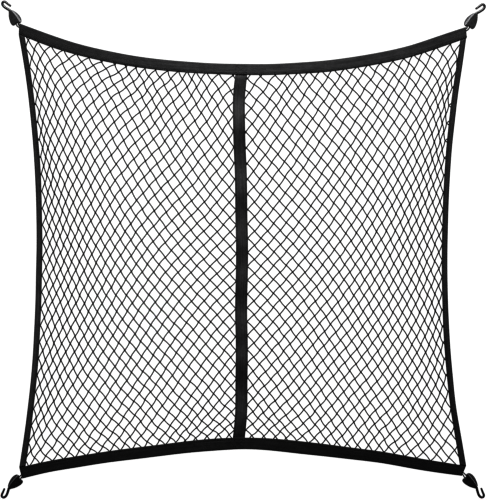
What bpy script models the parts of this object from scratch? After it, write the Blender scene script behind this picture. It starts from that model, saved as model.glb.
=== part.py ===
"""Cargo net: a knotted diamond net, bound all round with folded webbing and crossed by one centre
strap, with a wire hook on a cord loop at each corner.

It lies flat with its front face up. +Z leaves the front, +Y points to its upper edge, and the
floor is z = 0. The tables and sizes are in millimetres; the objects are in metres.
"""

import math

import bmesh
import bpy
import numpy as np

MM = 0.001

# --- webbing -----------------------------------------------------------------------------------
TAPE = 1.0  # thickness of the webbing
SLOT = 2.4  # room between the two leaves of a folded tape, for the edge of the net
FOLD = (SLOT + TAPE) / 2  # radius of the fold, to the middle of the tape
MID = TAPE + SLOT / 2  # height of the middle of the slot, where the net lies
GAP = 0.3  # between two pieces that touch
FOLD_STEPS = 4
TAPE_STEPS = 30  # along a folded tape

# The long tapes, from left to right: x, then y of the folded outer edge and of the open inner edge
TOP_TAPE = (
    # x, outer, inner
    (-412, 417.5, 397),
    (-360, 398.5, 376.5),
    (-310, 382, 361),
    (-257, 369, 348.5),
    (-205, 359, 339),
    (-152, 352, 332),
    (-100, 347.5, 327.5),
    (-50, 344.5, 325),
    (0, 343.5, 323.5),
    (50, 343.5, 323.5),
    (100, 346, 325.5),
    (152, 350, 329),
    (205, 357, 336),
    (257, 366, 345),
    (310, 378.5, 357),
    (360, 395, 373),
    (410, 411.5, 390.5),
)
BOTTOM_TAPE = (
    # x, outer, inner
    (-412, -424, -402.5),
    (-360, -411.5, -391),
    (-310, -403, -382.5),
    (-257, -394.5, -374),
    (-205, -388, -367),
    (-152, -381.5, -360.5),
    (-100, -375.5, -354),
    (-50, -371.5, -349.5),
    (0, -369, -348),
    (50, -371.5, -349.5),
    (100, -377, -354),
    (152, -382.5, -360),
    (205, -388.5, -367),
    (257, -395, -374),
    (310, -404.5, -383.5),
    (360, -412.5, -392),
    (410, -419, -400),
)
# The side tapes, from bottom to top: y, then x of the folded outer edge and of the open inner edge
LEFT_TAPE = (
    # y, outer, inner
    (-390, -413, -402),
    (-340, -405.5, -394.5),
    (-290, -399, -388.5),
    (-240, -393.5, -383),
    (-190, -389.5, -379),
    (-142, -387, -376.5),
    (-95, -385, -374.5),
    (-47, -384, -373.5),
    (0, -383, -372.5),
    (47, -383, -373),
    (95, -384, -374),
    (142, -386, -375.5),
    (190, -389, -379),
    (240, -393.5, -383.5),
    (290, -399, -389),
    (340, -406, -396),
    (390, -414.5, -404.5),
)
RIGHT_TAPE = (
    # y, outer, inner
    (-390, 410, 399),
    (-340, 401.5, 390.5),
    (-290, 393, 382.5),
    (-240, 387.5, 377),
    (-190, 383, 372.5),
    (-142, 380, 369.5),
    (-95, 378, 368),
    (-47, 377, 367),
    (0, 377, 367),
    (47, 378, 368),
    (95, 379.5, 369.5),
    (142, 382, 372),
    (190, 385.5, 375.5),
    (240, 391, 380.5),
    (290, 397, 386.5),
    (340, 404.5, 394),
    (390, 411.5, 401.5),
)
# Where the long tapes are cut off: x at the outer edge and at the inner edge
TAPE_ENDS = {
    "band_top": ((-414.6, -415.6), (411.0, 412.5)),
    "band_bottom": ((-409.5, -414.5), (403.5, 411.0)),
}
STRAP_WIDTH = 22
STRAP_LINE = (
    # y, x of the middle
    (-345, -8.5),
    (-300, -4.5),
    (-255, -4),
    (-210, -3.5),
    (-165, -3.5),
    (-120, -4.5),
    (-75, -4),
    (-30, -3),
    (15, -3),
    (60, -4),
    (105, -4.5),
    (150, -5.5),
    (195, -7.5),
    (240, -8.5),
    (280, -8.5),
    (318, -5),
)
STRAP_STEPS = 44
STRAP_TUCK = 6  # how far each end of the strap goes into the fold of a long tape
STRAP_SLOPE = 9  # length of the step down from the face of the net into that fold

# --- net ---------------------------------------------------------------------------------------
TWINE = 1.8  # thickness of the net and width of its strands
NET_TUCK = {"long": 8, "side": 5}  # how far the net goes into the fold of each tape
COLUMNS = 38  # half diamonds across a panel; the strap covers two more
ROWS = 50  # half diamonds down the net
MOST_GAPS = 300
PITCH = 2  # the solid net has every second strand
ACROSS = (0, 10, 19, 28, 38)  # half diamonds from the left side of a panel, one for each column
DOWN = (0, 10, 20, 30, 40, 50)  # half diamonds from the top, one for each row
LEFT_PANEL = (
    # the row's knots as x, y at the five places of ACROSS
    ((-407, 390), (-298, 359), (-197, 336), (-116, 330), (-5, 320)),
    ((-379, 220), (-311, 217), (-222, 202), (-125, 183), (-18, 175)),
    ((-372, 61), (-306, 55), (-229, 50), (-133, 40), (-13, 33)),
    ((-374, -94), (-303, -99), (-225, -99), (-131, -96), (-14, -96)),
    ((-383, -248), (-306, -249), (-217, -242), (-121, -232), (-13, -225)),
    ((-408, -406), (-303, -383), (-207, -370), (-116, -354), (-18, -342)),
)
RIGHT_PANEL = (
    # the row's knots as x, y at the five places of ACROSS
    ((-5, 313), (113, 330), (208, 338), (305, 359), (417, 387)),
    ((6, 174), (119, 182), (218, 196), (308, 210), (374, 218)),
    ((8, 34), (125, 40), (219, 47), (297, 52), (369, 59)),
    ((7, -95), (122, -95), (213, -99), (294, -101), (367, -96)),
    ((7, -224), (114, -230), (206, -239), (295, -248), (376, -247)),
    ((3, -344), (111, -355), (201, -371), (287, -381), (413, -408)),
)

# --- hooks -------------------------------------------------------------------------------------
# Each hook has its own frame: v runs from the foot of its body to the hook, and u to the side on
# which the free leg lies.
HOOKS = (
    # name, x and y of the foot, direction of v in degrees, side of the free leg, size
    ("top_left", -419.4, 416.5, 113.8, 1, 1.0),
    ("top_right", 416.5, 410.5, 64.2, -1, 1.04),
    ("bottom_left", -411.9, -422.6, 217.8, 1, 1.0),
    ("bottom_right", 408.6, -419.9, -40.0, -1, 1.04),
)
BODY_HEIGHT = 7
BODY_ROUND = 1.4  # radius of the body's edges
BODY_OUTLINE = (
    # u, v round the body, from the notch between its two feet
    (-1.6, 1.5),
    (-4.2, 0.6),
    (-6.8, 0.9),
    (-8.7, 3.0),
    (-9.3, 7.2),
    (-8.9, 12.0),
    (-7.7, 18.0),
    (-6.0, 22.6),
    (-4.4, 26.0),
    (-3.7, 27.8),
    (2.6, 27.8),
    (4.7, 25.6),
    (7.1, 22.3),
    (9.4, 18.0),
    (11.0, 13.2),
    (11.6, 8.6),
    (11.1, 4.5),
    (9.3, 1.2),
    (6.4, 0.0),
    (3.4, 0.9),
    (1.0, 1.8),
)
WIRE = 4.5  # diameter
WIRE_TIP = 3.8  # diameter at the end of the free leg
WIRE_BORE = 5.3  # diameter of the hole for it in the body
WIRE_STEPS = 30
WIRE_ROUTE = (
    # u, v
    (-0.5, 19.5),
    (-0.5, 22.5),
    (-0.5, 25.5),
    (-0.8, 28.2),
    (-3.0, 31.5),
    (-5.6, 35.2),
    (-8.1, 39.3),
    (-9.2, 43.0),
    (-8.9, 45.9),
    (-7.5, 47.7),
    (-5.4, 48.3),
    (-3.2, 47.4),
    (-1.9, 45.6),
    (-0.6, 43.0),
    (1.3, 39.5),
    (3.8, 34.9),
)
CORD = 1.8  # diameter of the cord loop
CORD_STEPS = 22
CORD_BORES = (3.8, -0.9)  # u of the loop's two strands in the foot of the body
CORD_DEPTH = 5.5  # how far each strand goes into the body
CORD_HEIGHT = 2.6  # of the strands in the body, a little above the fold
CORD_BORE = 2.8  # diameter of the hole for each strand
LOOP_FROM_EDGE = (2.4, 6.2)  # the loop's two strands in the fold, from the tape's outer edge
LOOP_REACH = 6  # from the end of the tape to the middle of the loop's turn
LOOP_CLEAR = 1.4  # from the end of the tape to the loop's strands where they turn into the fold

# --- colours -----------------------------------------------------------------------------------
BLACK_TAPE = (0.018, 0.018, 0.019)
BLACK_TWINE = (0.010, 0.010, 0.011)
BLACK_PLASTIC = (0.014, 0.014, 0.015)
BLACK_WIRE = (0.012, 0.012, 0.013)


def curve_through(stations, values):
    """The smooth curve through values at rising stations, straight beyond its ends."""
    s = np.array(stations, float)
    v = np.array(values, float)
    h = np.diff(s)
    system = np.eye(len(s))
    load = np.zeros(v.shape)
    for k in range(1, len(s) - 1):
        system[k, k - 1 : k + 2] = h[k - 1], 2 * (h[k - 1] + h[k]), h[k]
        load[k] = 6 * ((v[k + 1] - v[k]) / h[k] - (v[k] - v[k - 1]) / h[k - 1])
    bend = np.linalg.solve(system, load)
    first = (v[1] - v[0]) / h[0] - h[0] * (2 * bend[0] + bend[1]) / 6
    last = (v[-1] - v[-2]) / h[-1] + h[-1] * (bend[-2] + 2 * bend[-1]) / 6

    def at(x):
        if x <= s[0]:
            return v[0] + first * (x - s[0])
        if x >= s[-1]:
            return v[-1] + last * (x - s[-1])
        k = int(np.searchsorted(s, x)) - 1
        a = (s[k + 1] - x) / h[k]
        b = 1 - a
        lift = (a**3 - a) * bend[k] + (b**3 - b) * bend[k + 1]
        return a * v[k] + b * v[k + 1] + lift * h[k] ** 2 / 6

    return at


def edges(table):
    """The outer and the inner edge of a tape, as functions of the table's first column."""
    first, outer, inner = zip(*table)
    return curve_through(first, outer), curve_through(first, inner)


top_outer, top_inner = edges(TOP_TAPE)
bottom_outer, bottom_inner = edges(BOTTOM_TAPE)
left_outer, left_inner = edges(LEFT_TAPE)
right_outer, right_inner = edges(RIGHT_TAPE)
strap_x = curve_through(*zip(*STRAP_LINE))


def between(a, b, t):
    return a + (b - a) * t


# --- making objects ----------------------------------------------------------------------------
def clear_scene():
    for obj in list(bpy.data.objects):
        bpy.data.objects.remove(obj, do_unlink=True)


def new_collection(name):
    made = bpy.data.collections.new(name)
    bpy.context.scene.collection.children.link(made)
    return made


def finish(obj, colour, roughness, metallic=0.0):
    """Gives the object its own material."""
    material = bpy.data.materials.new(obj.name)
    material.use_nodes = True
    surface = material.node_tree.nodes["Principled BSDF"]
    surface.inputs["Base Color"].default_value = (*colour, 1)
    surface.inputs["Roughness"].default_value = roughness
    surface.inputs["Metallic"].default_value = metallic
    obj.data.materials.clear()
    obj.data.materials.append(material)
    return obj


def cloth_strip(name, collection, along, around, place):
    """A tape: an open grid, set by place(t, n) in millimetres, with the tape's thickness."""
    bm = bmesh.new()
    bmesh.ops.create_grid(bm, x_segments=along, y_segments=around, size=1)
    for vertex in bm.verts:
        t = (vertex.co.x + 1) / 2
        n = round((vertex.co.y + 1) / 2 * around)
        vertex.co = [value * MM for value in place(t, n)]
    bmesh.ops.recalc_face_normals(bm, faces=bm.faces)
    mesh = bpy.data.meshes.new(name)
    bm.to_mesh(mesh)
    bm.free()
    obj = bpy.data.objects.new(name, mesh)
    collection.objects.link(obj)
    thicken = obj.modifiers.new("Thickness", "SOLIDIFY")
    thicken.thickness = TAPE * MM
    thicken.offset = 0
    thicken.use_even_offset = True
    mesh.shade_smooth()
    mesh.set_sharp_from_angle(angle=math.radians(40))
    return finish(obj, BLACK_TAPE, 0.8)


def fold_profile(width):
    """A folded tape's section: (distance from the outer edge, height) from leaf to leaf."""
    centre = FOLD + TAPE / 2
    points = [(width, TAPE / 2)]
    for k in range(FOLD_STEPS + 1):
        turn = math.pi * (k / FOLD_STEPS - 0.5)
        points.append((centre - FOLD * math.cos(turn), MID + FOLD * math.sin(turn)))
    points.append((width, MID + FOLD))
    return points


def long_tape(name, collection, outer, inner):
    """The folded tape along the top or the bottom of the net."""
    (left_out, left_in), (right_out, right_in) = TAPE_ENDS[name]

    def place(t, n):
        x = between(left_out, right_out, t)
        width = abs(outer(x) - inner(x))
        from_edge, z = fold_profile(width)[n]
        part = from_edge / width
        x = between(between(left_out, left_in, part), between(right_out, right_in, part), t)
        return x, between(outer(x), inner(x), part), z

    return cloth_strip(name, collection, TAPE_STEPS, FOLD_STEPS + 2, place)


def side_tape(name, collection, outer, inner):
    """The folded tape down one side, between the inner edges of the long tapes."""
    outer_low, outer_high = bottom_inner(outer(-400)), top_inner(outer(400))

    def place(t, n):
        y = between(outer_low, outer_high, t)
        width = abs(outer(y) - inner(y))
        from_edge, z = fold_profile(width)[n]
        x = between(outer(y), inner(y), from_edge / width)
        y = between(bottom_inner(x) + GAP, top_inner(x) - GAP, t)
        return between(outer(y), inner(y), from_edge / width), y, z

    return cloth_strip(name, collection, TAPE_STEPS, FOLD_STEPS + 2, place)


def strap_height(inside):
    """Height of the strap's middle, a distance inside a long tape's inner edge."""
    on_net = MID + TWINE / 2 + GAP + TAPE / 2
    in_fold = TAPE + GAP + TAPE / 2
    t = min(max((inside + STRAP_SLOPE) / STRAP_SLOPE, 0), 1)
    return between(on_net, in_fold, t * t * (3 - 2 * t))


def centre_strap(collection):
    def place(t, n):
        x = strap_x(0)
        y = between(bottom_inner(x) - STRAP_TUCK, top_inner(x) + STRAP_TUCK, ends_close(t))
        inside = max(y - top_inner(strap_x(y)), bottom_inner(strap_x(y)) - y)
        return strap_x(y) + (n - 0.5) * STRAP_WIDTH, y, strap_height(inside)

    return cloth_strip("strap_centre", collection, STRAP_STEPS, 1, place)


def ends_close(t):
    """Spreads the strap's stations so that they lie closest near its two ends."""
    return t - math.sin(2 * math.pi * t) / (2 * math.pi) * 0.8


# --- net ---------------------------------------------------------------------------------------
def weights(stations, at):
    """How much each station's value counts at a place between them."""
    found = []
    for k, own in enumerate(stations):
        others = [s for m, s in enumerate(stations) if m != k]
        found.append(math.prod((at - s) / (own - s) for s in others))
    return np.array(found)


def knot(column, row, panel):
    """x, y of a knot, in half diamonds from the left side of its panel and from the top."""
    table = np.array(panel, float)
    x, y = np.einsum("r,c,rck->k", weights(DOWN, row), weights(ACROSS, column), table)
    return x, y


def diamond(column, row, panel):
    """The four knots round a gap of the solid net, drawn in by half a strand."""
    steps = ((-PITCH, 0), (0, PITCH), (PITCH, 0), (0, -PITCH))
    corners = np.array([knot(column + dc, row + dr, panel) for dc, dr in steps])
    centre = corners.mean(axis=0)
    across, down = corners[2] - corners[0], corners[1] - corners[3]
    area = abs(across[0] * down[1] - across[1] * down[0]) / 2
    side = np.linalg.norm(corners - np.roll(corners, 1, axis=0), axis=1).mean()
    inner_radius = area / (2 * side)
    return area, centre + (corners - centre) * (1 - TWINE / 2 / inner_radius)


def net_gaps():
    """The largest gaps of the net at its doubled pitch, up to the most that it may have."""
    found = []
    for panel in (LEFT_PANEL, RIGHT_PANEL):
        for column in range(PITCH, COLUMNS - PITCH + 1, PITCH):
            first = 1 + PITCH if column % (2 * PITCH) else 1 + 2 * PITCH
            for row in range(first, ROWS - PITCH, 2 * PITCH):
                found.append(diamond(column, row, panel))
    found.sort(key=lambda gap: -gap[0])
    return [corners for _, corners in found[:MOST_GAPS]]


def net_outline():
    """The edge of the net inside the folds, clockwise from its upper left corner."""
    long_in, side_in = NET_TUCK["long"], NET_TUCK["side"]
    half = STRAP_WIDTH / 2 + 2 * GAP
    step_back = STRAP_SLOPE + 1.5

    def across(inner, sign, steps=20):
        """Along a long tape, with the recess through which the strap goes into the fold."""
        ends = [side(y0) for side, y0 in ((left_inner, inner(-400)), (right_inner, inner(400)))]
        deep, back = (strap_x(inner(0) + sign * reach) for reach in (long_in, -step_back))
        left = np.linspace(ends[0] - side_in, deep - half, steps)
        right = np.linspace(deep + half, ends[1] + side_in, steps)
        points = [(x, inner(x) + sign * long_in) for x in left]
        points += [(x, inner(x) - sign * step_back) for x in (back - half, back + half)]
        return points + [(x, inner(x) + sign * long_in) for x in right]

    def down(inner, sign, steps=14):
        ys = np.linspace(top_inner(inner(380)) - 6, bottom_inner(inner(-380)) + 6, steps)
        return [(inner(y) + sign * side_in, y) for y in ys]

    upper, lower = across(top_inner, 1), across(bottom_inner, -1)
    return upper + down(right_inner, 1) + lower[::-1] + down(left_inner, -1)[::-1]


def net(collection):
    data = bpy.data.curves.new("net", "CURVE")
    data.dimensions = "2D"
    data.fill_mode = "BOTH"
    data.extrude = TWINE / 2 * MM
    for points in [net_outline(), *net_gaps()]:
        spline = data.splines.new("POLY")
        spline.points.add(len(points) - 1)
        for point, (x, y) in zip(spline.points, points):
            point.co = (x * MM, y * MM, 0, 1)
        spline.use_cyclic_u = True
    obj = bpy.data.objects.new("net", data)
    obj.location.z = MID * MM
    collection.objects.link(obj)
    return finish(obj, BLACK_TWINE, 0.75)


# --- hooks -------------------------------------------------------------------------------------
def hook_frame(x, y, degrees, side, size):
    """A function from a hook's own u, v to x, y."""
    turn = math.radians(degrees)
    v_way = size * np.array((math.cos(turn), math.sin(turn)))
    u_way = side * np.array((v_way[1], -v_way[0]))
    return lambda u, v: np.array((x, y)) + u * u_way + v * v_way


def tube(name, collection, route, steps, start, end, colour, roughness, metallic=0.0):
    """A round bar along a smooth curve through the route, from one diameter to another."""
    route = np.array(route, float)
    passed = np.concatenate([[0], np.cumsum(np.linalg.norm(np.diff(route, axis=0), axis=1))])
    line = curve_through(passed, route)
    data = bpy.data.curves.new(name, "CURVE")
    data.dimensions = "3D"
    data.bevel_depth = start / 2 * MM
    data.bevel_resolution = 2
    data.use_fill_caps = True
    spline = data.splines.new("POLY")
    spline.points.add(steps - 1)
    for k, point in enumerate(spline.points):
        t = k / (steps - 1)
        point.co = (*(line(t * passed[-1]) * MM), 1)
        point.radius = between(1, end / start, max(0, 2.5 * t - 1.5))
    spline.use_smooth = True
    obj = bpy.data.objects.new(name, data)
    collection.objects.link(obj)
    return finish(obj, colour, roughness, metallic)


def bore(name, cutters, start, end, z, diameter):
    """A round cutter between two points of the plan."""
    way = np.array(end) - np.array(start)
    bpy.ops.mesh.primitive_cylinder_add(
        vertices=12, radius=diameter / 2 * MM, depth=float(np.linalg.norm(way)) * MM
    )
    cutter = bpy.context.object
    cutter.name = name
    cutter.location = (*((np.array(start) + way / 2) * MM), z * MM)
    cutter.rotation_euler = (math.pi / 2, 0, math.atan2(way[1], way[0]) + math.pi / 2)
    for held in list(cutter.users_collection):
        held.objects.unlink(cutter)
    cutters.objects.link(cutter)
    cutter.hide_render = True
    cutter.display_type = "WIRE"
    return cutter


def hook_body(name, collection, cutters, frame, side):
    """The moulded body: its outline with rounded edges, bored for the wire and for the cord."""
    data = bpy.data.curves.new(name, "CURVE")
    data.dimensions = "2D"
    data.fill_mode = "BOTH"
    data.extrude = (BODY_HEIGHT / 2 - BODY_ROUND) * MM
    data.bevel_depth = BODY_ROUND * MM
    data.bevel_resolution = 1
    data.offset = -BODY_ROUND * MM
    data.resolution_u = 2
    spline = data.splines.new("BEZIER")
    spline.bezier_points.add(len(BODY_OUTLINE) - 1)
    for point, (u, v) in zip(spline.bezier_points, BODY_OUTLINE[::side]):
        point.co = (*(frame(u, v) * MM), 0)
        point.handle_left_type = point.handle_right_type = "AUTO"
    spline.use_cyclic_u = True
    shape = bpy.data.objects.new(name + "_curve", data)
    shape.location.z = BODY_HEIGHT / 2 * MM
    collection.objects.link(shape)
    bpy.context.view_layer.update()
    graph = bpy.context.evaluated_depsgraph_get()
    mesh = bpy.data.meshes.new_from_object(shape.evaluated_get(graph))
    bm = bmesh.new()
    bm.from_mesh(mesh)
    bmesh.ops.remove_doubles(bm, verts=bm.verts, dist=1e-6)
    bmesh.ops.recalc_face_normals(bm, faces=bm.faces)
    bm.to_mesh(mesh)
    bm.free()
    obj = bpy.data.objects.new(name, mesh)
    obj.matrix_world = shape.matrix_world
    collection.objects.link(obj)
    bpy.data.objects.remove(shape, do_unlink=True)
    u, v = WIRE_ROUTE[0]
    start, end = frame(u, v - GAP), frame(u, v + 14)
    bores = [bore(name + "_wire_bore", cutters, start, end, BODY_HEIGHT / 2, WIRE_BORE)]
    for k, u in enumerate(CORD_BORES):
        start, end = frame(u, CORD_DEPTH + GAP), frame(u, -4)
        bores.append(bore(f"{name}_cord_bore_{k}", cutters, start, end, CORD_HEIGHT, CORD_BORE))
    for cutter in bores:
        cut = obj.modifiers.new(cutter.name, "BOOLEAN")
        cut.operation = "DIFFERENCE"
        cut.object = cutter
    mesh.shade_smooth()
    mesh.set_sharp_from_angle(angle=math.radians(35))
    return finish(obj, BLACK_PLASTIC, 0.35)


def hook_wire(name, collection, frame):
    z = BODY_HEIGHT / 2
    route = [(*frame(u, v), z) for u, v in WIRE_ROUTE]
    return tube(name, collection, route, WIRE_STEPS, WIRE, WIRE_TIP, BLACK_WIRE, 0.4, 0.6)


def cord_loop(name, collection, frame, x, y):
    """The loop from one bore in the body, round inside the fold at the tape's end, to the other."""
    long_name = "band_top" if y > 0 else "band_bottom"
    outer, inner = (top_outer, top_inner) if y > 0 else (bottom_outer, bottom_inner)
    end = TAPE_ENDS[long_name][0 if x < 0 else 1][0]
    inward = 1 if x < 0 else -1
    corner = np.array((end, outer(end)))
    along = np.array((inward * 10, outer(end + inward * 10) - outer(end)))
    along = along / np.linalg.norm(along)
    across = np.array((-along[1], along[0]))
    across = across * np.sign(across[1]) * (-1 if y > 0 else 1)
    near, far = LOOP_FROM_EDGE
    middle, radius = (near + far) / 2, (far - near) / 2
    turn = []
    for degrees in (0, 45, 90, 135, 180):
        bend = math.radians(degrees)
        place = corner + along * (LOOP_REACH + radius * math.sin(bend))
        place = place + across * (middle - radius * math.cos(bend))
        turn.append((*place, MID))
    mouth = [(*(corner - along * LOOP_CLEAR + across * a), MID) for a in (near, far)]
    strands = CORD_BORES if y > 0 else CORD_BORES[::-1]
    bored = [[(*frame(u, v), CORD_HEIGHT) for v in (CORD_DEPTH, 3.2, 1.0)] for u in strands]
    route = [*bored[0], mouth[0], *turn, mouth[1], *bored[1][::-1]]
    return tube(name, collection, route, CORD_STEPS, CORD, CORD, BLACK_TWINE, 0.75)


def main():
    clear_scene()
    parts = new_collection("cargo_net")
    cutters = new_collection("cutters")
    long_tape("band_top", parts, top_outer, top_inner)
    long_tape("band_bottom", parts, bottom_outer, bottom_inner)
    side_tape("band_left", parts, left_outer, left_inner)
    side_tape("band_right", parts, right_outer, right_inner)
    centre_strap(parts)
    net(parts)
    for place, x, y, degrees, side, size in HOOKS:
        frame = hook_frame(x, y, degrees, side, size)
        hook_body("hook_body_" + place, parts, cutters, frame, side)
        hook_wire("hook_wire_" + place, parts, frame)
        cord_loop("cord_" + place, parts, frame, x, y)


main()
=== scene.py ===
"""Looks of the cargo net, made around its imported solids.

Sizes and places are in millimetres; the objects are in metres. The net lies flat, front face up,
+Y to its upper edge. The tapes, the strap, the net and the hooks have the outlines of the solids.
"""

import math

import bpy
import numpy as np
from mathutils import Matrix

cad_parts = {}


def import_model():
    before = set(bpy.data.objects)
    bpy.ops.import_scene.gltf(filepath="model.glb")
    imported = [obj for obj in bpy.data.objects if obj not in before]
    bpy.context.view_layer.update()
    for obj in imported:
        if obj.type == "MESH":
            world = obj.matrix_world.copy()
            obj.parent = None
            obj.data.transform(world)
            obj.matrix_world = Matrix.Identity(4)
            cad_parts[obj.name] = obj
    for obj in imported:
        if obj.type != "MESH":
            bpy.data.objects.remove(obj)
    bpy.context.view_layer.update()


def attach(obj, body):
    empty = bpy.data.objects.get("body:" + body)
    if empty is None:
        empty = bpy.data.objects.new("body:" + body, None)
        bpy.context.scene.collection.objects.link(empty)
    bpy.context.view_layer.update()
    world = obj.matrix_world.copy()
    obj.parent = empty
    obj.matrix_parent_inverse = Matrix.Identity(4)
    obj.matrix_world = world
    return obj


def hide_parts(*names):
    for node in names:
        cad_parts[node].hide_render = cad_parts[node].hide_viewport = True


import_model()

MM = 0.001
SEED = 11
TURN_UV = 4  # how far the cloth's second coordinate runs once round a twine

# --- webbing -----------------------------------------------------------------------------------
TAPE = 1.0  # thickness of the webbing
SLOT = 2.4  # room between the two leaves of a folded tape
FOLD = (SLOT + TAPE) / 2  # radius of the fold, to the middle of the tape
MID = TAPE + SLOT / 2  # height of the middle of the slot
GAP = 0.3  # between touching pieces
TAPE_STEP = 2.6  # length of one cell of a tape's mesh
LEAF_STEP = 1.2  # width of one cell
FOLD_STEPS = 8
EDGE_LINE = 1.2  # width of the darker line along each edge
EDGE_FADE = 1.44  # width over which it fades
LONG_EDGE = 0.7  # how light that line is on the long tapes and the strap
SIDE_EDGE = 0.6
PUCKER = (0.16, 11)  # height and length of the puckers along a seam
SLACK = (0.1, 47)  # height and length of a tape's slack waves
SEAM_DIP = 0.22  # how far the thread pulls the upper leaf down
SEAM_SPREAD = 1.6  # how far from the seam
EDGE_DROOP = 0.45  # how far the open edge sinks, over its last EDGE_REACH
EDGE_REACH = 2.0
TAPE_SEEDS = {"top": 21, "bottom": 22, "left": 23, "right": 24}

TOP_TAPE = (
    # x, outer, inner
    (-412, 417.5, 397),
    (-360, 398.5, 376.5),
    (-310, 382, 361),
    (-257, 369, 348.5),
    (-205, 359, 339),
    (-152, 352, 332),
    (-100, 347.5, 327.5),
    (-50, 344.5, 325),
    (0, 343.5, 323.5),
    (50, 343.5, 323.5),
    (100, 346, 325.5),
    (152, 350, 329),
    (205, 357, 336),
    (257, 366, 345),
    (310, 378.5, 357),
    (360, 395, 373),
    (410, 411.5, 390.5),
)
BOTTOM_TAPE = (
    # x, outer, inner
    (-412, -424, -402.5),
    (-360, -411.5, -391),
    (-310, -403, -382.5),
    (-257, -394.5, -374),
    (-205, -388, -367),
    (-152, -381.5, -360.5),
    (-100, -375.5, -354),
    (-50, -371.5, -349.5),
    (0, -369, -348),
    (50, -371.5, -349.5),
    (100, -377, -354),
    (152, -382.5, -360),
    (205, -388.5, -367),
    (257, -395, -374),
    (310, -404.5, -383.5),
    (360, -412.5, -392),
    (410, -419, -400),
)
LEFT_TAPE = (
    # y, outer, inner
    (-390, -413, -402),
    (-340, -405.5, -394.5),
    (-290, -399, -388.5),
    (-240, -393.5, -383),
    (-190, -389.5, -379),
    (-142, -387, -376.5),
    (-95, -385, -374.5),
    (-47, -384, -373.5),
    (0, -383, -372.5),
    (47, -383, -373),
    (95, -384, -374),
    (142, -386, -375.5),
    (190, -389, -379),
    (240, -393.5, -383.5),
    (290, -399, -389),
    (340, -406, -396),
    (390, -414.5, -404.5),
)
RIGHT_TAPE = (
    # y, outer, inner
    (-390, 410, 399),
    (-340, 401.5, 390.5),
    (-290, 393, 382.5),
    (-240, 387.5, 377),
    (-190, 383, 372.5),
    (-142, 380, 369.5),
    (-95, 378, 368),
    (-47, 377, 367),
    (0, 377, 367),
    (47, 378, 368),
    (95, 379.5, 369.5),
    (142, 382, 372),
    (190, 385.5, 375.5),
    (240, 391, 380.5),
    (290, 397, 386.5),
    (340, 404.5, 394),
    (390, 411.5, 401.5),
)
# Where the long tapes are cut off: x at the outer edge and at the inner edge
TAPE_ENDS = {
    "band_top": ((-414.6, -415.6), (411.0, 412.5)),
    "band_bottom": ((-409.5, -414.5), (403.5, 411.0)),
}
STRAP_WIDTH = 22
STRAP_LINE = (
    # y, x of the middle
    (-345, -8.5),
    (-300, -4.5),
    (-255, -4),
    (-210, -3.5),
    (-165, -3.5),
    (-120, -4.5),
    (-75, -4),
    (-30, -3),
    (15, -3),
    (60, -4),
    (105, -4.5),
    (150, -5.5),
    (195, -7.5),
    (240, -8.5),
    (280, -8.5),
    (318, -5),
)
# How light the webbing is along its length, as painted light and shade: the fall-off of the light from
# the top of the net, the shading of the slack waves it lies in, and at the strap's top end a painted
# light patch over the shadow of the top tape's edge
PAINTED_LIGHT_TONES = {
    # x or y, how light
    "tape_top": ((-412, 0.54), (-240, 0.88), (0, 1.25), (240, 1.0), (410, 0.76)),
    "tape_bottom": ((-412, 0.54), (-220, 0.65), (0, 0.7), (150, 0.54), (410, 0.44)),
    "tape_left": ((-390, 1.2), (-180, 1.42), (0, 1.2), (200, 0.88), (390, 0.54)),
    "tape_right": ((-390, 0.88), (0, 0.93), (390, 0.8)),
    "strap": (
        (-350, 1.0),
        (-336, 0.82),
        (-306, 1.42),
        (-268, 1.26),
        (-220, 0.68),
        (-190, 1.4),
        (-166, 1.08),
        (-138, 1.6),
        (-78, 0.8),
        (-42, 1.5),
        (-6, 0.84),
        (30, 1.52),
        (80, 0.78),
        (138, 1.48),
        (186, 0.78),
        (228, 1.0),
        (262, 1.66),
        (302, 0.82),
        (314, 0.95),
        # painted light: lifts the shadow that the top tape's edge casts on the strap's end
        (320, 1.2),
        (324, 2.2),
        (330, 2.4),
    ),
}
STRAP_WAVE = 0.5  # height of the strap's slack waves
STRAP_WAVE_LENGTH = 105
STRAP_RELIEF = 0.3  # how far a knot raises the strap
STRAP_PULL = 0.25  # how far a knot sewn to its edges widens it
STRAP_TUCK = 6  # how far each end lies inside its fold
STRAP_SLOPE = 9  # length over which it dips into a fold
STRAP_OVER = 14  # half the width over which the strap's ends press on the net
NET_PRESSED = 1.05  # how much lower the net lies in the folds under the strap's ends
STRAP_STEP = 1.5

# --- net ---------------------------------------------------------------------------------------
TWINE = 1.95  # thickness
TWINE_SIDES = 6
BAR_STEPS = 6
COLUMNS = 38  # half diamonds across a panel; the strap covers two more
ROWS = 50  # half diamonds down the net
UNDER_STRAP = COLUMNS + 1
LAST = 2 * COLUMNS + 2
ACROSS = (0, 10, 19, 28, 38)  # half columns of a panel whose knots are given
DOWN = (0, 10, 20, 30, 40, 50)  # and the half rows
LEFT_PANEL = (
    # a row's knots as x, y at the places of ACROSS
    ((-407, 390), (-298, 359), (-197, 336), (-116, 330), (-5, 320)),
    ((-379, 220), (-311, 217), (-222, 202), (-125, 183), (-18, 175)),
    ((-372, 61), (-306, 55), (-229, 50), (-133, 40), (-13, 33)),
    ((-374, -94), (-303, -99), (-225, -99), (-131, -96), (-14, -96)),
    ((-383, -248), (-306, -249), (-217, -242), (-121, -232), (-13, -225)),
    ((-408, -406), (-303, -383), (-207, -370), (-116, -354), (-18, -342)),
)
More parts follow.
